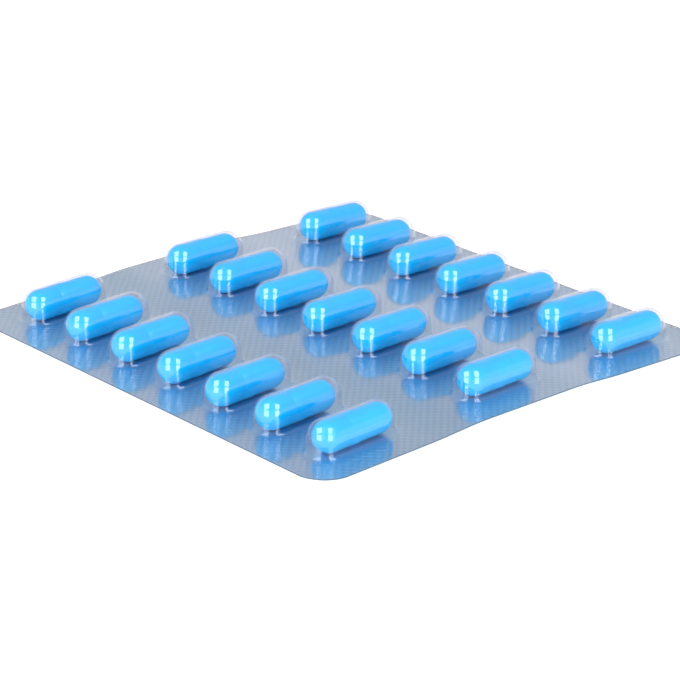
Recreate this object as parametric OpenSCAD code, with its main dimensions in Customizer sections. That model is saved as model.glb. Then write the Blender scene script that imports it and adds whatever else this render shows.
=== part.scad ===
// Capsule blister pack: a clear thermoformed film with 21 domed pockets, sealed to a foil,
// with one two-piece hard capsule in each pocket.
// X runs along the capsules, Y along a row, Z up. The foil rests on the plane z = 0.

/* [Capsule] */
// Length of the closed capsule
capsule_length = 19.4; // [17.5:0.1:21.7]
// Outside diameter of the cap
cap_od = 6.91; // [6.1:0.01:7.6]
// Length of the cap, from its tip to its rim
cap_length = 9.8; // [8.8:0.1:10.8]
// Wall of the cap and the body
shell_t = 0.11; // [0.09:0.01:0.14]
// Radial gap between the cap and the body inside it
fit_gap = 0.03; // [0.02:0.005:0.05]
// Distance of the lock ring from the cap's rim
lock_back = 2.4; // [1.5:0.1:3.5]
// Width of the lock ring at its bottom
lock_w = 0.5; // [0.3:0.05:0.8]
// Depth of the lock ring
lock_depth = 0.05; // [0.03:0.005:0.07]

/* [Powder] */
// Gap between the powder and the body's wall
fill_gap = 0.05; // [0.03:0.01:0.15]
// How far the powder stays below the body's mouth
fill_short = 1.6; // [0.5:0.1:4]

/* [Pocket] */
// Spare length of a pocket over its capsule
end_play = 1.4; // [0.8:0.1:2.4]
// Gap between a pocket and the side and top of its capsule
side_play = 0.25; // [0.15:0.05:0.6]
// Gap between the capsule and the foil under it
seat_gap = 0.05; // [0.02:0.01:0.2]
// Wall of a pocket, thinner than the sheet because it was drawn out of it
wall_t = 0.2; // [0.12:0.01:0.24]
// Slope of a pocket's wall: sideways run for each millimetre of height
wall_slope = 0.05; // [0.02:0.01:0.12]
// Fillet at the foot of a pocket, on its outside
foot_r = 0.8; // [0.5:0.05:1.4]

/* [Card] */
// Distance between the rows, along the capsules
row_pitch = 40; // [36:0.5:46]
// Distance between neighbours in a row
column_pitch = 16; // [13:0.5:20]
// Card left beyond the pockets at the ends of the capsules
end_margin = 5.9; // [4:0.1:12]
// Card left beyond the first and last pocket of a row
side_margin = 6.2; // [4:0.1:12]
// Radius of the card's corners
corner_r = 7; // [4:0.5:12]
// Forming film as a flat sheet
film_t = 0.25; // [0.2:0.01:0.35]
// Lidding foil with its lacquers
foil_t = 0.03; // [0.02:0.005:0.05]
// Flat rim that the stiff pockets hold flat beyond their feet
flat_rim = 0.7; // [0.3:0.1:2]
// How far the card has bowed up at its middle row
arch_rise = 1.5; // [0:0.1:3]
// Angle by which the outer rows lean, their inner ends up
row_lean = 1.7; // [0:0.1:4]

/* [Hidden] */
rows = 3;
columns = 7;
count = rows * columns;

function two_digits(n) = str(n < 10 ? "0" : "", n);
CAP_NAMES = [for (n = [1:count]) str("capsule_cap_", two_digits(n))];
BODY_NAMES = [for (n = [1:count]) str("capsule_body_", two_digits(n))];
FILL_NAMES = [for (r = [1:rows]) str("powder_fill_row_", r)];
$fn = 64;

// Radii and lengths of the capsule's two shells
cap_r = cap_od / 2;
cap_bore_r = cap_r - shell_t;
body_r = cap_bore_r - fit_gap;
body_bore_r = body_r - shell_t;
body_length = capsule_length - cap_r;
cap_ring_y = cap_length - lock_back;
body_ring_y = capsule_length - cap_ring_y;

// A pocket's inside and outside share the capsule's axis
axis_h = seat_gap + cap_r;
pocket_r = cap_r + side_play;
dome_r = pocket_r + wall_t;
pocket_straight = capsule_length + end_play - 2 * pocket_r;
// The foot's circle bites this far into the wall and the sheet, so that it cuts both cleanly
bite = 0.02;

// Half the width of a pocket's wall of dome radius r, at height y above the sheet's underside
function wall_x(r, y) = r + wall_slope * (axis_h - y);
foot_reach = wall_x(dome_r, film_t + foot_r) + foot_r;
rim_x = foot_reach + flat_rim / 2;
panel_half = pocket_straight / 2 + foot_reach + flat_rim;
card_half_x = (rows - 1) / 2 * row_pitch + pocket_straight / 2 + foot_reach + end_margin;
card_half_y = (columns - 1) / 2 * column_pitch + foot_reach + side_margin;

// The bowed card's underside: flat under the middle row, an S-curve in the web, a straight
// panel that leans under the outer row, and a margin that lies on the table
lean_x = panel_half * cos(row_lean);
lean_rise = panel_half * sin(row_lean);
web = row_pitch - panel_half - lean_x;
web_steps = 14;
// The S-curve leaves the middle panel level at t = 0 and meets the leaning one at t = 1
function web_rise(t) = arch_rise * (1 - t) * (1 - t) * (1 + 2 * t)
    + 2 * lean_rise * t * t * (3 - 2 * t) + web * tan(row_lean) * t * t * (1 - t);
function web_slope(t) = (6 * t * (1 - t) * (2 * lean_rise - arch_rise)) / web
    + tan(row_lean) * t * (2 - 3 * t);
// Points of one half, each with its x, its height and the slope of the card there
half_line = concat(
    [for (i = [0:web_steps]) let (t = i / web_steps)
        [panel_half + web * t, web_rise(t), atan(web_slope(t))]],
    [[row_pitch + lean_x, 0, row_lean], [card_half_x, 0, 0]]
);
other_half = [for (i = [len(half_line) - 1:-1:0]) [-half_line[i].x, half_line[i].y, half_line[i].z]];
card_line = concat(other_half, half_line);

function row_x(row) = (row - (rows - 1) / 2) * row_pitch;
function column_y(column) = ((columns - 1) / 2 - column) * column_pitch;
// How the card lies under a row: its height at the row's middle and its lean about Y
function row_rise(row) = row == (rows - 1) / 2 ? arch_rise : lean_rise;
function row_turn(row) = (row - (rows - 1) / 2) * row_lean;
// Where each loose capsule has come to rest along its pocket, a line for each row:
// -1 is at the -X end, 0 in the middle and 1 at the +X end
REST_AT = [
    [-0.15, -0.85, -0.55, -0.65, -0.85, -0.95, 0.65],
    [-0.45, -0.70, -0.80, -0.70, -0.35, -0.85, 0.00],
    [-0.05, -0.50, -0.65, -0.45, -0.60, -0.20, -0.15]
];
function slide(row, column) = REST_AT[row][column] * end_play / 2;

// A point of the card's line moved up, so far that a sheet there is h thick square to its face
function raised(p, h) = [p.x, p.y + h / cos(p.z)];

// The sheet between low and high above the card's underside, across the whole card
module bowed_sheet(low, high) {
    intersection() {
        rotate([90, 0, 0])
            linear_extrude(2 * card_half_y + 2, center = true)
                polygon(concat(
                    [for (p = card_line) raised(p, low)],
                    [for (i = [len(card_line) - 1:-1:0]) raised(card_line[i], high)]
                ));
        translate([0, 0, -1])
            linear_extrude(arch_rise + film_t + foil_t + 2)
                card_outline();
    }
}

module card_outline() {
    straight_x = card_half_x - corner_r;
    straight_y = card_half_y - corner_r;
    square([2 * card_half_x, 2 * straight_y], center = true);
    square([2 * straight_x, 2 * card_half_y], center = true);
    for (sx = [-1, 1], sy = [-1, 1])
        translate([sx * straight_x, sy * straight_y])
            circle(corner_r);
}

// Cross-section of what lies under a pocket's surface: dome, sloping walls and two foot fillets.
// r is the dome's radius, base the height of the sheet's face, foot the fillet and low the bottom
module under_pocket(r, base, foot, low) {
    crown = axis_h + r * wall_slope;
    foot_x = wall_x(r, base + foot) + foot - bite;
    intersection() {
        translate([0, axis_h])
            circle(r);
        translate([-2 * r, low + bite])
            square([4 * r, 2 * axis_h + r]);
    }
    polygon([
        [-wall_x(r, low), low], [wall_x(r, low), low],
        [wall_x(r, crown), crown], [-wall_x(r, crown), crown]
    ]);
    for (side = [0, 1])
        mirror([side, 0])
            difference() {
                translate([r / 2, low])
                    square([foot_x - r / 2, base + foot - bite - low]);
                translate([foot_x, base + foot - bite])
                    circle(foot);
            }
}

// The drawn film in section: its outside, with a flat rim round the foot, less its inside
module film_section() {
    difference() {
        union() {
            under_pocket(dome_r, film_t, foot_r, film_t / 2);
            translate([-rim_x, 0])
                square([2 * rim_x, film_t]);
        }
        under_pocket(pocket_r, 0, foot_r + film_t, -film_t);
    }
}

// The section carried along the capsule, with the same section turned half round at each end
module pocket() {
    rotate([90, 0, 90])
        linear_extrude(pocket_straight, center = true)
            film_section();
    for (end = [0, 180])
        rotate([0, 0, end])
            translate([pocket_straight / 2, 0, 0])
                rotate([0, 0, -90])
                    rotate_extrude(angle = 180)
                        intersection() {
                            film_section();
                            square(2 * rim_x);
                        }
}

// Outline of a pocket's rim seen from above
module rim_outline() {
    square([pocket_straight, 2 * rim_x], center = true);
    for (side = [-1, 1])
        translate([side * pocket_straight / 2, 0])
            circle(rim_x);
}

// Puts its children at the middle of one pocket, on the film's underside
module at_pocket(row, column) {
    translate([row_x(row), column_y(column), row_rise(row)])
        rotate([0, row_turn(row), 0])
            translate([0, 0, foil_t])
                children();
}

module at_each_pocket() {
    for (row = [0:rows - 1], column = [0:columns - 1])
        at_pocket(row, column)
            children();
}

module forming_film() {
    color([0.82, 0.84, 0.93, 0.45]) {
        difference() {
            bowed_sheet(foil_t, foil_t + film_t);
            at_each_pocket()
                translate([0, 0, -film_t])
                    linear_extrude(3 * film_t)
                        rim_outline();
        }
        at_each_pocket()
            pocket();
    }
}

module lidding_foil() {
    color([0.60, 0.67, 0.76])
        bowed_sheet(0, foil_t);
}

// Half section of a round-ended tube of radius r, from its tip to its mouth at y = length,
// with the middle of its round end at y = end_y
module round_ended(r, end_y, length) {
    intersection() {
        union() {
            translate([0, end_y])
                circle(r);
            translate([0, end_y])
                square([r, length - end_y]);
        }
        square([2 * r, length]);
    }
}

// The same tube with the lock ring's groove rolled into it
module ringed_tube(r, end_y, length, ring_y) {
    difference() {
        round_ended(r, end_y, length);
        polygon([
            [r - lock_depth, ring_y - lock_w / 2], [r - lock_depth, ring_y + lock_w / 2],
            [r + lock_depth, ring_y + lock_w / 2 + 2 * lock_depth],
            [r + lock_depth, ring_y - lock_w / 2 - 2 * lock_depth]
        ]);
    }
}

// A shell of outside radius r, with its lock ring rolled right through the wall
module capsule_shell(r, length, ring_y) {
    rotate_extrude()
        difference() {
            ringed_tube(r, r, length, ring_y);
            ringed_tube(r - shell_t, r, length + 1, ring_y);
        }
}

module powder_plug() {
    plug_r = body_bore_r - lock_depth - fill_gap;
    rotate_extrude()
        round_ended(plug_r, body_r, body_length - fill_short);
}

// Puts its children on the axis of capsule n, with y of the half sections towards the middle:
// turn is 90 for the cap, whose tip points to -X, and -90 for the body, whose tip points to +X
module on_capsule_axis(n, turn) {
    row = floor(n / columns);
    column = n % columns;
    tip_x = (turn > 0 ? -1 : 1) * capsule_length / 2;
    at_pocket(row, column)
        translate([slide(row, column) + tip_x, 0, axis_h])
            rotate([0, turn, 0])
                children();
}

module capsule_cap(n) {
    color("deepskyblue")
        on_capsule_axis(n, 90)
            capsule_shell(cap_r, cap_length, cap_ring_y);
}

module capsule_body(n) {
    color("dodgerblue")
        on_capsule_axis(n, -90)
            capsule_shell(body_r, body_length, body_ring_y);
}

module powder_fill(row) {
    color("ivory")
        for (column = [0:columns - 1])
            on_capsule_axis(row * columns + column, -90)
                powder_plug();
}

forming_film();
lidding_foil();
for (n = [0:count - 1]) {
    capsule_cap(n);
    capsule_body(n);
}
for (row = [0:rows - 1])
    powder_fill(row);
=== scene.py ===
"""Capsule blister pack: clear formed film, knurled foil and glossy two-piece capsules, dressed
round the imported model. Lengths in the shape functions are millimetres, in the part's own frame."""

import math

import bpy
import numpy as np
from mathutils import Matrix, Vector


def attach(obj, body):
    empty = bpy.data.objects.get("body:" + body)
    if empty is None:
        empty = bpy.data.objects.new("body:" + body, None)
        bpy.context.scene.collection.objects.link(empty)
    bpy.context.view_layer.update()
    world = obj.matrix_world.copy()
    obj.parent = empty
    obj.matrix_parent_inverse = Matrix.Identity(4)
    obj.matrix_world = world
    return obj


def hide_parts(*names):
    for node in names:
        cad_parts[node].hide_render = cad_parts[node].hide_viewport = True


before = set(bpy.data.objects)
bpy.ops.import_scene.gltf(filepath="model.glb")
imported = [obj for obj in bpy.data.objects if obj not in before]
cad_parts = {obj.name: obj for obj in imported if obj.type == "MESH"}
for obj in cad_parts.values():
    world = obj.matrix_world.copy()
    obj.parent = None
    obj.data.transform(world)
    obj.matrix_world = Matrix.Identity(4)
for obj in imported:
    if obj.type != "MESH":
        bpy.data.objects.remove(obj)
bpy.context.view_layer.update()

MM = 0.001

# The capsule
CAPSULE_LENGTH = 19.4
CAP_R = 3.455
CAP_LENGTH = 9.8
SHELL_T = 0.11
BODY_R = 3.315
BODY_LENGTH = 15.945
LOCK_Y = 7.4
BODY_LOCK_Y = 12.0
LOCK_W = 0.5
LOCK_DEPTH = 0.05

# The pocket and the sheet
AXIS_H = 3.505
POCKET_R = 3.705
DOME_R = 3.905
POCKET_STRAIGHT = 13.39
WALL_SLOPE = 0.05
FOOT_R = 0.8
FILM_T = 0.25
FOIL_T = 0.03
END_PLAY = 1.4

# The card
ROW_PITCH = 40.0
COLUMN_PITCH = 16.0
ROWS, COLUMNS = 3, 7
HALF_X = 57.423
HALF_Y = 59.028
CORNER_R = 7.0
# Half sizes of the card within its rounded corners
STRAIGHT = np.array([HALF_X - CORNER_R, HALF_Y - CORNER_R])
PANEL_HALF = 12.223
ARCH_RISE = 1.5
ROW_LEAN = math.radians(1.7)
LEAN_X = PANEL_HALF * math.cos(ROW_LEAN)
LEAN_RISE = PANEL_HALF * math.sin(ROW_LEAN)
WEB = ROW_PITCH - PANEL_HALF - LEAN_X

# Where each loose capsule has come to rest, from -1 at the -X end of its pocket to 1 at the +X end
REST_AT = np.array([
    [-0.15, -0.85, -0.55, -0.65, -0.85, -0.95, 0.65],
    [-0.45, -0.70, -0.80, -0.70, -0.35, -0.85, 0.00],
    [-0.05, -0.50, -0.65, -0.45, -0.60, -0.20, -0.15],
])

# The seal's diamond knurl: its bumps stand at every other crossing of lines KNURL_PITCH apart
KNURL_PITCH = 1.0
KNURL_DEPTH = 0.045
FOIL_STEPS_X, FOIL_STEPS_Y = 294, 302
# The film's underside is kept this far off the foil, so that the knurl stays below it
SEAL_GAP = 0.06
# Width over which the knurl fades out at a pocket's foot
SEAL_FADE = 0.4


def card_rise(x):
    """Height of the card's underside at x: level under the middle row, a cubic S-curve in the web,
    a straight line of slope tan(ROW_LEAN) under the outer row, and 0 in the margin."""
    a = np.abs(np.asarray(x, float))
    t = np.clip((a - PANEL_HALF) / WEB, 0, 1)
    lean = math.tan(ROW_LEAN)
    web = ARCH_RISE * (1 - t) ** 2 * (1 + 2 * t) + 2 * LEAN_RISE * t ** 2 * (3 - 2 * t) \
        + WEB * lean * t ** 2 * (1 - t)
    outer = np.clip((ROW_PITCH + LEAN_X - a) * lean, 0, None)
    return np.where(a > ROW_PITCH - LEAN_X, outer, web)


def on_card(points, row, column):
    """Points of a pocket's own frame, with z from the card's underside, turned by the row's lean
    about Y and moved to the pocket's place."""
    turn = (row - 1) * ROW_LEAN
    x, y, z = points[..., 0], points[..., 1], points[..., 2]
    rise = ARCH_RISE if row == 1 else LEAN_RISE
    return np.stack([
        x * math.cos(turn) + z * math.sin(turn) + (row - 1) * ROW_PITCH,
        y + (3 - column) * COLUMN_PITCH,
        -x * math.sin(turn) + z * math.cos(turn) + rise,
    ], -1)


def grid_faces(rows, columns, first=0, close=False):
    """Two triangles for each cell of a grid of points stored row by row; close joins the last
    column to the first."""
    across = columns if close else columns - 1
    i, j = np.meshgrid(np.arange(rows - 1), np.arange(across), indexing="ij")
    k = (j + 1) % columns
    a, b, c, d = i * columns + j, i * columns + k, (i + 1) * columns + k, (i + 1) * columns + j
    quads = np.stack([a, b, c, d], -1).reshape(-1, 4) + first
    return np.concatenate([quads[:, [0, 1, 2]], quads[:, [0, 2, 3]]])


def make_piece(name, points, triangles, material, smooth_angle=None):
    """A mesh object from points in millimetres and triangles: points closer than a tenth of a
    micrometre are merged, faces that this leaves without area go, and the outside faces out."""
    _, first, where = np.unique(
        np.round(points * 1e4).astype(np.int64), axis=0, return_index=True, return_inverse=True)
    points = points[first]
    triangles = where.reshape(-1)[triangles]
    a, b, c = triangles.T
    triangles = triangles[(a != b) & (b != c) & (c != a)]
    p, q, r = points[triangles[:, 0]], points[triangles[:, 1]], points[triangles[:, 2]]
    if np.einsum("ij,ij->", p, np.cross(q, r)) < 0:
        triangles = triangles[:, ::-1]
    mesh = bpy.data.meshes.new(name)
    mesh.vertices.add(len(points))
    mesh.vertices.foreach_set("co", (points * MM).astype(np.float32).ravel())
    mesh.loops.add(3 * len(triangles))
    mesh.loops.foreach_set("vertex_index", triangles.astype(np.int32).ravel())
    mesh.polygons.add(len(triangles))
    mesh.polygons.foreach_set("loop_start", np.arange(0, 3 * len(triangles), 3, dtype=np.int32))
    mesh.update(calc_edges=True)
    mesh.validate()
    mesh.shade_smooth()
    if smooth_angle is not None:
        mesh.set_sharp_from_angle(angle=smooth_angle)
    mesh.materials.append(material)
    piece = bpy.data.objects.new(name, mesh)
    bpy.context.scene.collection.objects.link(piece)
    return piece


# The materials

def new_material(name):
    """A node material with its Principled shader, as (material, node tree, shader, output)."""
    material = bpy.data.materials.new(name)
    material.use_nodes = True
    tree = material.node_tree
    return material, tree, tree.nodes["Principled BSDF"], tree.nodes["Material Output"]


def add(tree, kind, **values):
    """A node of that kind with its sockets and settings set by name."""
    node = tree.nodes.new(kind)
    for key, value in values.items():
        if hasattr(node, key):
            setattr(node, key, value)
        else:
            node.inputs[key.replace("_", " ")].default_value = value
    return node


def object_noise(tree, scale, detail=2.0, roughness=0.5, stretch=(1, 1, 1)):
    """Noise on Object coordinates, finer along the axes where stretch is larger."""
    place = tree.nodes.new("ShaderNodeTexCoord")
    mapping = add(tree, "ShaderNodeMapping")
    mapping.inputs["Scale"].default_value = stretch
    noise = add(tree, "ShaderNodeTexNoise", Scale=scale, Detail=detail, Roughness=roughness)
    tree.links.new(place.outputs["Object"], mapping.inputs["Vector"])
    tree.links.new(mapping.outputs["Vector"], noise.inputs["Vector"])
    return noise


def ramp(tree, source, stops):
    """A colour ramp over a factor, from (position, colour) stops."""
    node = tree.nodes.new("ShaderNodeValToRGB")
    while len(node.color_ramp.elements) < len(stops):
        node.color_ramp.elements.new(0.5)
    for element, (position, colour) in zip(node.color_ramp.elements, stops):
        element.position = position
        element.color = (*colour, 1.0)
    tree.links.new(source, node.inputs["Fac"])
    return node


def gelatin():
    """Glossy sky-blue gelatin: a little uneven in depth of colour, with a shallow dip-moulded
    waviness."""
    material, tree, shader, _ = new_material("blue_gelatin")
    cloud = object_noise(tree, 260, 3.0, 0.6)
    colour = ramp(tree, cloud.outputs["Fac"], [
        (0.25, (0.002, 0.465, 0.90)), (0.75, (0.006, 0.505, 0.95))])
    tree.links.new(colour.outputs["Color"], shader.inputs["Base Color"])
    wave = object_noise(tree, 420, 1.0, 0.4, (0.35, 1, 1))
    bump = add(tree, "ShaderNodeBump", Strength=0.08, Distance=0.0001)
    tree.links.new(wave.outputs["Fac"], bump.inputs["Height"])
    tree.links.new(bump.outputs["Normal"], shader.inputs["Normal"])
    shader.inputs["Roughness"].default_value = 0.22
    shader.inputs["IOR"].default_value = 1.45
    return material


def knurl_height(tree):
    """The seal's diamond knurl as a height: the product of one cosine along X and one along Y."""
    place = tree.nodes.new("ShaderNodeTexCoord")
    split = tree.nodes.new("ShaderNodeSeparateXYZ")
    tree.links.new(place.outputs["Object"], split.inputs["Vector"])
    both = add(tree, "ShaderNodeMath", operation="MULTIPLY")
    for index, axis in enumerate("XY"):
        turns = add(tree, "ShaderNodeMath", operation="MULTIPLY")
        turns.inputs[1].default_value = math.pi / (KNURL_PITCH * MM)
        wave = add(tree, "ShaderNodeMath", operation="COSINE")
        tree.links.new(split.outputs[axis], turns.inputs[0])
        tree.links.new(turns.outputs[0], wave.inputs[0])
        tree.links.new(wave.outputs[0], both.inputs[index])
    return both


def sealed_share(tree):
    """The piece's own attribute: 1 where film and foil are sealed, 0 in and under a pocket."""
    return add(tree, "ShaderNodeAttribute", attribute_name="sealed")


def foil_metal():
    """Lacquered aluminium foil: blue-grey, satin, pressed into a fine diamond knurl where it is
    sealed and smooth under the pockets, with a faint roll grain along X. Painted shade and light:
    the colour is darker in the knurl's valleys and lighter on its bumps."""
    material, tree, shader, _ = new_material("foil_metal")
    grain = object_noise(tree, 1400, 3.0, 0.6, (0.25, 1, 1))
    cloud = object_noise(tree, 55, 2.0, 0.5)
    mixed = add(tree, "ShaderNodeMath", operation="MULTIPLY_ADD")
    mixed.inputs[1].default_value = 0.12
    tree.links.new(grain.outputs["Fac"], mixed.inputs[0])
    tree.links.new(cloud.outputs["Fac"], mixed.inputs[2])
    colour = ramp(tree, mixed.outputs[0], [
        (0.30, (0.405, 0.60, 0.70)), (0.80, (0.455, 0.65, 0.75))])
    shader.inputs["Metallic"].default_value = 1.0
    rough = add(tree, "ShaderNodeMapRange")
    rough.inputs["To Min"].default_value = 0.28
    rough.inputs["To Max"].default_value = 0.38
    tree.links.new(grain.outputs["Fac"], rough.inputs["Value"])
    tree.links.new(rough.outputs["Result"], shader.inputs["Roughness"])
    knurl = knurl_height(tree)
    sealed = sealed_share(tree)
    pressed = add(tree, "ShaderNodeMath", operation="MULTIPLY")
    tree.links.new(knurl.outputs[0], pressed.inputs[0])
    tree.links.new(sealed.outputs["Fac"], pressed.inputs[1])
    # Painted shade and light: where the foil is sealed, the colour is scaled from 0.88 in the
    # knurl's valleys to 1.12 on its bumps, standing in for the shading of the relief.
    shade = add(tree, "ShaderNodeMapRange")
    shade.inputs["From Min"].default_value = -1.0
    shade.inputs["To Min"].default_value = 0.88
    shade.inputs["To Max"].default_value = 1.12
    tree.links.new(pressed.outputs[0], shade.inputs["Value"])
    knurl_painted_shade = add(tree, "ShaderNodeVectorMath", operation="SCALE")
    tree.links.new(colour.outputs["Color"], knurl_painted_shade.inputs[0])
    tree.links.new(shade.outputs["Result"], knurl_painted_shade.inputs["Scale"])
    tree.links.new(knurl_painted_shade.outputs["Vector"], shader.inputs["Base Color"])
    bump = add(tree, "ShaderNodeBump", Strength=0.8, Distance=0.00008)
    tree.links.new(pressed.outputs[0], bump.inputs["Height"])
    crease = object_noise(tree, 130, 2.0, 0.5)
    soft = add(tree, "ShaderNodeBump", Strength=0.5, Distance=0.00008)
    tree.links.new(crease.outputs["Fac"], soft.inputs["Height"])
    tree.links.new(bump.outputs["Normal"], soft.inputs["Normal"])
    tree.links.new(soft.outputs["Normal"], shader.inputs["Normal"])
    return material


def clear_film():
    """Clear formed plastic: light passes straight through, the surface mirrors 0.05 plus 0.90
    times the fifth power of how far it turns from view, and a pale lavender haze gathers where
    the wall is seen edge on. On the cut edge round the card a dark blue-grey is painted in as
    painted shade, for the dark look of the clear plastic's edge."""
    material, tree, shader, output = new_material("clear_film")
    tree.nodes.remove(shader)
    clear = add(tree, "ShaderNodeBsdfTransparent")
    clear.inputs["Color"].default_value = (0.965, 0.965, 0.985, 1)
    gloss = add(tree, "ShaderNodeBsdfAnisotropic", Roughness=0.05)
    gloss.inputs["Color"].default_value = (1, 1, 1, 1)
    haze = add(tree, "ShaderNodeBsdfDiffuse")
    haze.inputs["Color"].default_value = (0.78, 0.76, 0.90, 1)
    ripple = object_noise(tree, 300, 2.0, 0.5)
    bump = add(tree, "ShaderNodeBump", Strength=0.10, Distance=0.0001)
    tree.links.new(ripple.outputs["Fac"], bump.inputs["Height"])
    tree.links.new(bump.outputs["Normal"], gloss.inputs["Normal"])
    tilt = add(tree, "ShaderNodeLayerWeight", Blend=0.5)
    tree.links.new(bump.outputs["Normal"], tilt.inputs["Normal"])
    power = add(tree, "ShaderNodeMath", operation="POWER")
    power.inputs[1].default_value = 5.0
    tree.links.new(tilt.outputs["Facing"], power.inputs[0])
    mirror = add(tree, "ShaderNodeMath", operation="MULTIPLY_ADD")
    mirror.inputs[1].default_value = 0.90
    mirror.inputs[2].default_value = 0.05
    tree.links.new(power.outputs[0], mirror.inputs[0])
    edge = add(tree, "ShaderNodeLayerWeight", Blend=0.30)
    edge_share = add(tree, "ShaderNodeMapRange")
    edge_share.inputs["From Min"].default_value = 0.68
    edge_share.inputs["From Max"].default_value = 1.0
    edge_share.inputs["To Max"].default_value = 0.90
    tree.links.new(edge.outputs["Facing"], edge_share.inputs["Value"])
    body = add(tree, "ShaderNodeMixShader")
    tree.links.new(edge_share.outputs["Result"], body.inputs["Fac"])
    tree.links.new(clear.outputs[0], body.inputs[1])
    tree.links.new(haze.outputs[0], body.inputs[2])
    whole = add(tree, "ShaderNodeMixShader")
    tree.links.new(mirror.outputs[0], whole.inputs["Fac"])
    tree.links.new(body.outputs[0], whole.inputs[1])
    tree.links.new(gloss.outputs[0], whole.inputs[2])
    # Painted shade: on the film's cut edge the clear film gives way to a flat dark blue-grey
    # diffuse, painted for the dark look of the plastic's edge.
    cut = add(tree, "ShaderNodeAttribute", attribute_name="painted_edge_shade")
    edge_shade_paint = add(tree, "ShaderNodeBsdfDiffuse")
    edge_shade_paint.inputs["Color"].default_value = (0.11, 0.14, 0.20, 1)
    with_edge_shade = add(tree, "ShaderNodeMixShader")
    tree.links.new(cut.outputs["Fac"], with_edge_shade.inputs["Fac"])
    tree.links.new(whole.outputs[0], with_edge_shade.inputs[1])
    tree.links.new(edge_shade_paint.outputs[0], with_edge_shade.inputs[2])
    tree.links.new(with_edge_shade.outputs[0], output.inputs["Surface"])
    return material


def fine_powder():
    """Pressed white powder: matt, with fine grains."""
    material, tree, shader, _ = new_material("fine_powder")
    grains = object_noise(tree, 4000, 4.0, 0.7)
    colour = ramp(tree, grains.outputs["Fac"], [
        (0.3, (0.72, 0.70, 0.65)), (0.7, (0.86, 0.85, 0.81))])
    tree.links.new(colour.outputs["Color"], shader.inputs["Base Color"])
    bump = add(tree, "ShaderNodeBump", Strength=0.5, Distance=0.0001)
    tree.links.new(grains.outputs["Fac"], bump.inputs["Height"])
    tree.links.new(bump.outputs["Normal"], shader.inputs["Normal"])
    shader.inputs["Roughness"].default_value = 0.9
    return material


def white_table():
    """Matt white table with a barely seen paper tooth."""
    material, tree, shader, _ = new_material("white_table")
    tooth = object_noise(tree, 700, 2.0, 0.5)
    colour = ramp(tree, tooth.outputs["Fac"], [
        (0.3, (0.29, 0.29, 0.29)), (0.7, (0.31, 0.31, 0.31))])
    tree.links.new(colour.outputs["Color"], shader.inputs["Base Color"])
    shader.inputs["Roughness"].default_value = 0.8
    shader.inputs["Emission Color"].default_value = (1, 1, 1, 1)
    shader.inputs["Emission Strength"].default_value = 0.85
    return material


GELATIN = gelatin()
FOIL = foil_metal()
FILM = clear_film()
POWDER = fine_powder()


# The capsules

# Steps of a round end from its tip, and faces round a shell
TIP_STEPS = 18
SHELL_AROUND = 48
# Bevel at a shell's mouth
MOUTH_R = 0.03


def arc(centre_y, radius, first, last, count):
    """Points (distance from the axis, y) on a circle about (0, centre_y), between two angles from
    the -y direction, in radians."""
    angle = np.linspace(first, last, count)
    return np.stack([radius * np.sin(angle), centre_y - radius * np.cos(angle)], -1)


def tube_line(radius, end_y, length, ring_y):
    """Half section of a round-ended tube from its tip to its mouth, with the lock ring's groove:
    a quarter circle, then a straight line that steps in by the ring's depth."""
    tip = arc(end_y, radius, 0, math.pi / 2, TIP_STEPS)
    ring = ring_y + np.array([-1, -0.35, 0.35, 1]) * (LOCK_W / 2 + LOCK_DEPTH)
    line = np.array([
        [radius, ring[0]], [radius - LOCK_DEPTH, ring[1]], [radius - LOCK_DEPTH, ring[2]],
        [radius, ring[3]], [radius, length - MOUTH_R], [radius - MOUTH_R, length]])
    return np.concatenate([tip, line])


def half_shell(name, row, column, radius, length, ring_y, towards):
    """One shell of a capsule: the outer half section and the bore's, carried round the axis as a
    closed loop. towards is 1 where the tip points to -X and -1 where it points to +X."""
    outer = tube_line(radius, radius, length, ring_y)
    bore = tube_line(radius - SHELL_T, radius, length, ring_y)[::-1]
    section = np.concatenate([outer, bore])
    around = np.linspace(0, 2 * math.pi, SHELL_AROUND, endpoint=False)
    out, along = section[:, None, 0], section[:, None, 1]
    x = towards * (along - CAPSULE_LENGTH / 2) + REST_AT[row, column] * END_PLAY / 2
    points = np.stack(np.broadcast_arrays(
        x, out * np.cos(around), FOIL_T + AXIS_H + out * np.sin(around)), -1)
    points = on_card(points, row, column).reshape(-1, 3)
    triangles = grid_faces(len(section), SHELL_AROUND, close=True)
    return make_piece(name, points, triangles, GELATIN, math.radians(35))


for row in range(ROWS):
    for column in range(COLUMNS):
        number = f"{row * COLUMNS + column + 1:02d}"
        cap = half_shell("cap_shell_" + number, row, column, CAP_R, CAP_LENGTH, LOCK_Y, 1)
        body = half_shell(
            "body_shell_" + number, row, column, BODY_R, BODY_LENGTH, BODY_LOCK_Y, -1)
        for shell, node in ((cap, "capsule_cap_"), (body, "capsule_body_")):
            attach(shell, "root")
            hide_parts(node + number)

for row in range(ROWS):
    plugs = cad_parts[f"powder_fill_row_{row + 1}"]
    plugs.data.materials.clear()
    plugs.data.materials.append(POWDER)


# The forming film

# Steps of the loop round a pocket: at each rounded end and along each straight side
END_STEPS = 32
SIDE_STEPS = 6
# Steps of a pocket's skin in its fillet, wall and dome, and of the sheet out to the cell's border
OUTER_STEPS, OUTER_SHEET_STEPS = (7, 2, 11), 7
INNER_STEPS, INNER_SHEET_STEPS = (5, 2, 8), 6
# Share of an end's half turn that faces the side of the cell rather than its top or bottom
SIDE_SHARE = 0.625


def wall_x(radius, height):
    """The wall's distance from the spine at a height: the dome's radius at the axis, and
    WALL_SLOPE more for each millimetre below it."""
    return radius + WALL_SLOPE * (AXIS_H - height)


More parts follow.
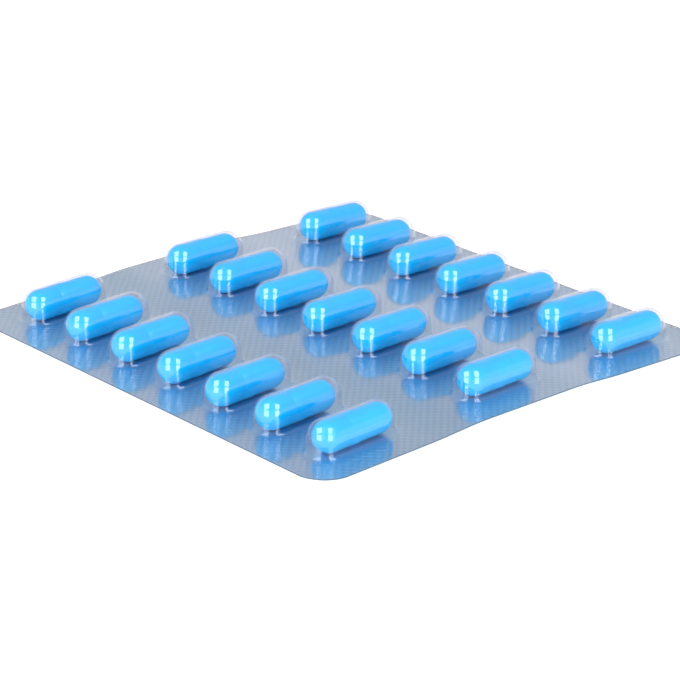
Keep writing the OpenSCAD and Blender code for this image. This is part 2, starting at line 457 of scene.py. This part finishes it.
def pocket_line(radius, base, foot, fillet_steps, wall_steps, dome_steps):
    """A pocket's skin in half section, from the sheet to the crown: a foot fillet, a wall that
    leans in by WALL_SLOPE and a dome. Columns are the distance from the spine and the height
    over the film's underside."""
    lean = math.atan(WALL_SLOPE)
    centre = np.array([wall_x(radius, base + foot) + foot, base + foot])
    angle = np.linspace(-math.pi / 2, -math.pi + lean, fillet_steps + 1)
    fillet = centre + foot * np.stack([np.cos(angle), np.sin(angle)], -1)
    turn = np.linspace(lean, math.pi / 2, dome_steps + 1)
    dome = np.stack([radius * np.cos(turn), AXIS_H + radius * np.sin(turn)], -1)
    share = np.linspace(0, 1, wall_steps + 1)[1:-1, None]
    wall = fillet[-1] * (1 - share) + dome[0] * share
    return np.concatenate([fillet, wall, dome])


def loop_spine():
    """The loop round a pocket, as spine points and outward directions: half a turn at the +X end,
    the +Y side, half a turn at the -X end and the -Y side."""
    half = np.linspace(-math.pi / 2, math.pi / 2, END_STEPS + 1)[:-1]
    side = np.linspace(1, -1, SIDE_STEPS + 1)[:-1] * POCKET_STRAIGHT / 2
    level = np.zeros(SIDE_STEPS)
    spine = np.concatenate([
        np.full(END_STEPS, POCKET_STRAIGHT / 2), side,
        np.full(END_STEPS, -POCKET_STRAIGHT / 2), -side])
    out_x = np.concatenate([np.cos(half), level, -np.cos(half), level])
    out_y = np.concatenate([np.sin(half), level + 1, -np.sin(half), level - 1])
    return spine, out_x, out_y


SPINE, OUT_X, OUT_Y = loop_spine()


def pocket_skin(line, row, column):
    """A pocket's skin: its half section carried round the loop, as a grid of points."""
    out, height = line[:, None, 0], line[:, None, 1]
    points = np.stack(np.broadcast_arrays(
        SPINE + out * OUT_X, out * OUT_Y, FOIL_T + height), -1)
    return on_card(points, row, column)


def cell_border(row, column):
    """The border of a pocket's cell of the sheet, one point for each step of the loop. Points of
    the middle SIDE_SHARE of an end lie on the cell's side, evenly by angle, and the others on its
    top or bottom. The card's corners are rounded by moving points onto the corner's circle."""
    left = -HALF_X if row == 0 else (row - 1.5) * ROW_PITCH
    right = HALF_X if row == ROWS - 1 else (row - 0.5) * ROW_PITCH
    top = HALF_Y if column == 0 else (3.5 - column) * COLUMN_PITCH
    bottom = -HALF_Y if column == COLUMNS - 1 else (2.5 - column) * COLUMN_PITCH
    middle_x = (row - 1) * ROW_PITCH
    angle = np.linspace(-1, 1, END_STEPS + 1)[:-1]
    along = (angle / SIDE_SHARE + 1) / 2
    on_side = np.abs(angle) <= SIDE_SHARE + 1e-9
    rest = np.clip((1 - np.abs(angle)) / (1 - SIDE_SHARE), 0, 1)
    near = POCKET_STRAIGHT / 2

    def end(side_x, sign, low, high):
        turn_x = middle_x + sign * near
        x = np.where(on_side, side_x, turn_x + rest * (side_x - turn_x))
        y = np.where(on_side, low + along * (high - low), np.where(angle > 0, high, low))
        return np.stack([x, y], -1)

    side = np.linspace(1, -1, SIDE_STEPS + 1)[:-1] * near
    border = np.concatenate([
        end(right, 1, bottom, top),
        np.stack([middle_x + side, np.full(SIDE_STEPS, top)], -1),
        end(left, -1, top, bottom),
        np.stack([middle_x - side, np.full(SIDE_STEPS, bottom)], -1)])
    return rounded(border)


def rounded(points):
    """Points beyond a rounded corner of the card moved onto its circle, straight from its centre:
    the centre plus CORNER_R times the unit vector to the point."""
    over = np.abs(points) - STRAIGHT
    beyond = (over > 0).all(-1)
    length = np.maximum(np.hypot(over[..., 0], over[..., 1]), 1e-9)[..., None]
    moved = np.sign(points) * (STRAIGHT + over / length * CORNER_R)
    return np.where(beyond[..., None], moved, points)


def sheet_skin(rim, row, column, height, steps):
    """The sheet round one pocket, from the pocket's rim to the cell's border in even steps, each
    point at the card's own height there."""
    border = cell_border(row, column)
    share = np.linspace(0, 1, steps + 1)[:, None, None]
    flat = rim[None, :, :2] * (1 - share) + border[None] * share
    points = np.concatenate([flat, (card_rise(flat[..., 0]) + height)[..., None]], -1)
    points[0] = rim
    return points


def film_piece():
    """The whole film as one closed shell: for every pocket an outer skin of dome, wall, fillet and
    sheet and an inner one, and the cut edge that joins them round the card."""
    blocks, faces, first = [], [], 0

    def lay(points, inward):
        nonlocal first
        rows, columns = points.shape[:2]
        cells = grid_faces(rows, columns, first, close=True)
        blocks.append(points.reshape(-1, 3))
        faces.append(cells[:, ::-1] if inward else cells)
        first += rows * columns

    outer_line = pocket_line(DOME_R, FILM_T, FOOT_R, *OUTER_STEPS)
    inner_line = pocket_line(POCKET_R, SEAL_GAP, FOOT_R + FILM_T - SEAL_GAP, *INNER_STEPS)
    outer_height, inner_height = FOIL_T + FILM_T, FOIL_T + SEAL_GAP
    for row in range(ROWS):
        for column in range(COLUMNS):
            outer = pocket_skin(outer_line, row, column)
            inner = pocket_skin(inner_line, row, column)
            lay(outer, False)
            lay(inner, True)
            lay(sheet_skin(outer[0], row, column, outer_height, OUTER_SHEET_STEPS)[::-1], False)
            lay(sheet_skin(inner[0], row, column, inner_height, INNER_SHEET_STEPS)[::-1], True)
            border = cell_border(row, column)
            border = np.concatenate([border, border[:1]])
            on_edge = (np.abs(border) > np.array([HALF_X, HALF_Y]) - 1e-6).any(-1)
            on_edge |= (np.abs(border) > STRAIGHT + 1e-6).all(-1)
            rise = card_rise(border[:, 0])
            low = np.column_stack([border, rise + inner_height])
            high = np.column_stack([border, rise + outer_height])
            step = np.flatnonzero(on_edge[:-1] & on_edge[1:])
            count = len(border)
            blocks.extend([low, high])
            a, b = first + step, first + step + 1
            faces.append(np.stack([a, b, b + count], -1))
            faces.append(np.stack([a, b + count, a + count], -1))
            first += 2 * count
    points, triangles = np.concatenate(blocks), np.concatenate(faces)
    return make_piece("film_skin", points, triangles, FILM, math.radians(40))


def mark_painted_edge_shade(film):
    """A value for each face: 1 on the cut edge, where the face's normal is level and its middle
    lies on the card's outline. The film's material paints shade on these faces: a dark blue-grey
    for the dark look of the clear plastic's edge."""
    faces = len(film.data.polygons)
    centre, normal = np.zeros(3 * faces, np.float32), np.zeros(3 * faces, np.float32)
    film.data.polygons.foreach_get("center", centre)
    film.data.polygons.foreach_get("normal", normal)
    centre, normal = centre.reshape(-1, 3) / MM, normal.reshape(-1, 3)
    over = np.abs(centre[:, :2]) - STRAIGHT
    outline = np.where((over > 0).all(-1), np.hypot(over[:, 0], over[:, 1]), over.max(-1))
    cut = (np.abs(normal[:, 2]) < 0.5) & (outline > CORNER_R - 0.1)
    painted_edge_shade = film.data.attributes.new("painted_edge_shade", "FLOAT", "FACE")
    painted_edge_shade.data.foreach_set("value", cut.astype(np.float32))


film = film_piece()
mark_painted_edge_shade(film)
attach(film, "root")
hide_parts("forming_film")


# The lidding foil

def pocket_distance(x, y):
    """Distance from a point of the card to the nearest pocket's spine."""
    row_middle = np.clip(np.round(x / ROW_PITCH), -1, 1) * ROW_PITCH
    column_middle = np.clip(np.round(y / COLUMN_PITCH), -3, 3) * COLUMN_PITCH
    beyond = np.maximum(np.abs(x - row_middle) - POCKET_STRAIGHT / 2, 0)
    return np.hypot(beyond, y - column_middle)


def sealed_at(x, y):
    """1 where the film is sealed to the foil and 0 under a pocket."""
    foot = wall_x(POCKET_R, FOOT_R) + FOOT_R
    return np.clip((pocket_distance(x, y) - foot) / SEAL_FADE, 0, 1)


def rounded_inside(points):
    """As rounded, but only for points outside the corner's circle."""
    over = np.abs(points) - STRAIGHT
    outside = (over > 0).all(-1) & (np.hypot(over[..., 0], over[..., 1]) > CORNER_R)
    return np.where(outside[..., None], rounded(points), points)


def foil_piece():
    """The foil as a closed sheet. Its top is a grid that rises by KNURL_DEPTH times half of one
    plus the product of a cosine along X and one along Y, outside the pockets. Points beyond a
    rounded corner go onto its circle."""
    xs = np.linspace(-HALF_X, HALF_X, FOIL_STEPS_X + 1)
    ys = np.linspace(-HALF_Y, HALF_Y, FOIL_STEPS_Y + 1)
    i, j = np.meshgrid(np.arange(len(xs)), np.arange(len(ys)), indexing="ij")
    flat = np.stack([xs[i], ys[j]], -1)
    snapped = rounded_inside(flat)
    inside = np.abs(snapped - flat).max(-1) < 1e-9
    waves = np.cos(math.pi * flat / KNURL_PITCH).prod(-1)
    bump = (0.5 + 0.5 * waves) * sealed_at(flat[..., 0], flat[..., 1]) * inside
    bump[[0, -1]] = 0
    bump[:, [0, -1]] = 0
    rise = card_rise(snapped[..., 0])
    top = np.concatenate([snapped, (rise + FOIL_T + KNURL_DEPTH * bump)[..., None]], -1)
    under = np.concatenate([snapped, rise[..., None]], -1)
    count = top.shape[0] * top.shape[1]
    faces = grid_faces(*top.shape[:2])
    keep = inside.reshape(-1)[faces].any(-1)
    faces = faces[keep]
    directed = np.concatenate([faces[:, [0, 1]], faces[:, [1, 2]], faces[:, [2, 0]]])
    _, back, uses = np.unique(
        np.sort(directed, -1), axis=0, return_inverse=True, return_counts=True)
    rim = directed[uses[back.reshape(-1)] == 1]
    points = np.concatenate([top.reshape(-1, 3), under.reshape(-1, 3)])
    wall = np.concatenate([
        np.stack([rim[:, 1], rim[:, 0], rim[:, 0] + count], -1),
        np.stack([rim[:, 1], rim[:, 0] + count, rim[:, 1] + count], -1)])
    below = underside(rim, under.reshape(-1, 3), count)
    return points, np.concatenate([faces, wall, below])


def underside(rim, flat, first):
    """The foil's underside within its rim, facing down. The rim's points are put in order by their
    angle about the card's middle, from the middle of the -X side, and taken both ways at once, so
    that the two points of each step share their x. Two triangles fill each step, and fans to the
    first and last step fill the straight sides."""
    chain = np.unique(rim)
    angle = np.arctan2(flat[chain, 1], -flat[chain, 0])
    chain = chain[np.argsort(np.mod(np.round(angle, 9), 2 * math.pi), kind="stable")]
    half = len(chain) // 2
    there = chain[:half + 1]
    back = np.concatenate([chain[:1], chain[:half - 1:-1]])
    side = int((flat[there, 0] < flat[there, 0].min() + 1e-6).sum()) - 1
    inner = slice(side + 1, -side - 1)
    a, b = there[inner], back[inner]
    faces = [np.stack([a[:-1], b[1:], a[1:]], -1), np.stack([a[:-1], b[:-1], b[1:]], -1)]
    ends = ((there[:side + 1], back[:side + 1], a[0], b[0]),
            (back[::-1][:side + 1], there[::-1][:side + 1], b[-1], a[-1]))
    for one, other, one_tip, other_tip in ends:
        faces.append(np.stack([one[:-1], np.full(side, one_tip), one[1:]], -1))
        faces.append(np.stack([other[:-1], other[1:], np.full(side, other_tip)], -1))
        faces.append(np.array([[one[0], other_tip, one_tip]]))
    return np.concatenate(faces) + first


foil = make_piece("foil_sheet", *foil_piece(), FOIL, math.radians(60))
foil_co = np.zeros(len(foil.data.vertices) * 3, np.float32)
foil.data.vertices.foreach_get("co", foil_co)
foil_x, foil_y, _ = foil_co.reshape(-1, 3).T / MM
sealed_attribute = foil.data.attributes.new("sealed", "FLOAT", "POINT")
sealed_attribute.data.foreach_set("value", sealed_at(foil_x, foil_y).astype(np.float32))
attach(foil, "root")
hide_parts("lidding_foil")


# The stage

# The photograph's width and the camera's focal length, in pixels, and the sensor's width
PHOTO_WIDTH = 680
FOCAL_LENGTH = 2672
SENSOR_WIDTH = 36
CAMERA_AZIMUTH = math.radians(-41.69)
CAMERA_ELEVATION = math.radians(21.60)
CAMERA_ROLL = math.radians(0.37)
# The camera's distance from the card's middle and its offsets to the right and up, in millimetres
CAMERA_DISTANCE, CAMERA_SIDE, CAMERA_LIFT = 586.9, -0.27, -6.76
# The softboxes: their image's offset to the right on a ball and their width in metres, and the
# heights of the image's ends, in radii
SOFTBOX_SIDES = {"left": (-0.29, 0.50), "right": (0.24, 0.44)}
SOFTBOX_LEVELS = {"low": (-0.22, 0.13), "high": (0.18, 0.47)}
SOFTBOX_RADIANCE = 4.0


def add_floor():
    """The table: one flat square, a hair below the foil that rests on it."""
    mesh = bpy.data.meshes.new("table_top")
    reach, height = 3.0, -0.02 * MM
    mesh.from_pydata([(-reach, -reach, height), (reach, -reach, height),
                      (reach, reach, height), (-reach, reach, height)], [], [(0, 1, 2, 3)])
    mesh.materials.append(white_table())
    floor = bpy.data.objects.new("table_top", mesh)
    bpy.context.scene.collection.objects.link(floor)


def camera_axes():
    """Right, up and back of the camera, before its roll."""
    level = math.cos(CAMERA_ELEVATION)
    back = Vector((math.sin(CAMERA_AZIMUTH) * level,
                   -math.cos(CAMERA_AZIMUTH) * level, math.sin(CAMERA_ELEVATION)))
    right = Vector((math.cos(CAMERA_AZIMUTH), math.sin(CAMERA_AZIMUTH), 0))
    return right, back.cross(right), back


def add_softbox(name, across, low, high, width):
    """A rectangular softbox placed by its mirror image on a ball: across is the image's offset to
    the right of the ball's centre, low and high are those of its ends above it, in radii. It
    stands 1 m from the card's middle, facing it, in the direction that a ball would mirror."""
    right, up, back = camera_axes()

    def mirrored(height):
        face = right * across + up * height + back * math.sqrt(1 - across ** 2 - height ** 2)
        return face * (2 * face.dot(back)) - back

    first, last = mirrored(low), mirrored(high)
    middle = (first + last).normalized()
    length = 2 * math.tan(first.angle(last) / 2)
    along = (last - first).normalized()
    side = along.cross(middle)
    light = bpy.data.lights.new(name, "AREA")
    light.shape = "RECTANGLE"
    light.size, light.size_y = width, length
    light.energy = SOFTBOX_RADIANCE * math.pi * width * length
    lamp = bpy.data.objects.new(name, light)
    lamp.matrix_world = Matrix((
        (side.x, along.x, middle.x, middle.x), (side.y, along.y, middle.y, middle.y),
        (side.z, along.z, middle.z, middle.z), (0, 0, 0, 1)))
    bpy.context.scene.collection.objects.link(lamp)


def add_camera():
    """The photograph's view: a long lens, from the -X -Y side and above."""
    right, up, back = camera_axes()
    across = right * math.cos(CAMERA_ROLL) + up * math.sin(CAMERA_ROLL)
    above = up * math.cos(CAMERA_ROLL) - right * math.sin(CAMERA_ROLL)
    data = bpy.data.cameras.new("camera")
    data.sensor_width = SENSOR_WIDTH
    data.lens = FOCAL_LENGTH * SENSOR_WIDTH / PHOTO_WIDTH
    data.clip_start, data.clip_end = 0.01, 20
    camera = bpy.data.objects.new("camera", data)
    camera.matrix_world = Matrix((
        (across.x, above.x, back.x, 0), (across.y, above.y, back.y, 0),
        (across.z, above.z, back.z, 0), (0, 0, 0, 1)))
    focus = Vector((0, 0, ARCH_RISE + FOIL_T + AXIS_H))
    offset = back * CAMERA_DISTANCE + across * CAMERA_SIDE + above * CAMERA_LIFT
    camera.location = (focus + offset) * MM
    bpy.context.scene.collection.objects.link(camera)
    bpy.context.scene.camera = camera


def add_world():
    """Soft light from all round, nearly white up to the horizon and a dimmer blue-grey above."""
    world = bpy.data.worlds.new("studio")
    world.use_nodes = True
    tree = world.node_tree
    background = tree.nodes["Background"]
    place = tree.nodes.new("ShaderNodeTexCoord")
    split = tree.nodes.new("ShaderNodeSeparateXYZ")
    tree.links.new(place.outputs["Generated"], split.inputs["Vector"])
    colour = ramp(tree, split.outputs["Z"], [
        (0.0, (0.95, 0.92, 0.96)), (0.36, (0.91, 0.88, 0.93)), (0.57, (0.53, 0.56, 0.62)),
        (0.82, (0.56, 0.58, 0.62))])
    tree.links.new(colour.outputs["Color"], background.inputs["Color"])
    background.inputs["Strength"].default_value = 1.0
    bpy.context.scene.world = world


add_floor()
add_world()
add_camera()
for side, (across, width) in SOFTBOX_SIDES.items():
    for level, (low, high) in SOFTBOX_LEVELS.items():
        add_softbox(f"softbox_{side}_{level}", across, low, high, width)
bpy.context.scene.view_settings.view_transform = "Standard"
bpy.context.scene.cycles.transparent_max_bounces = 48
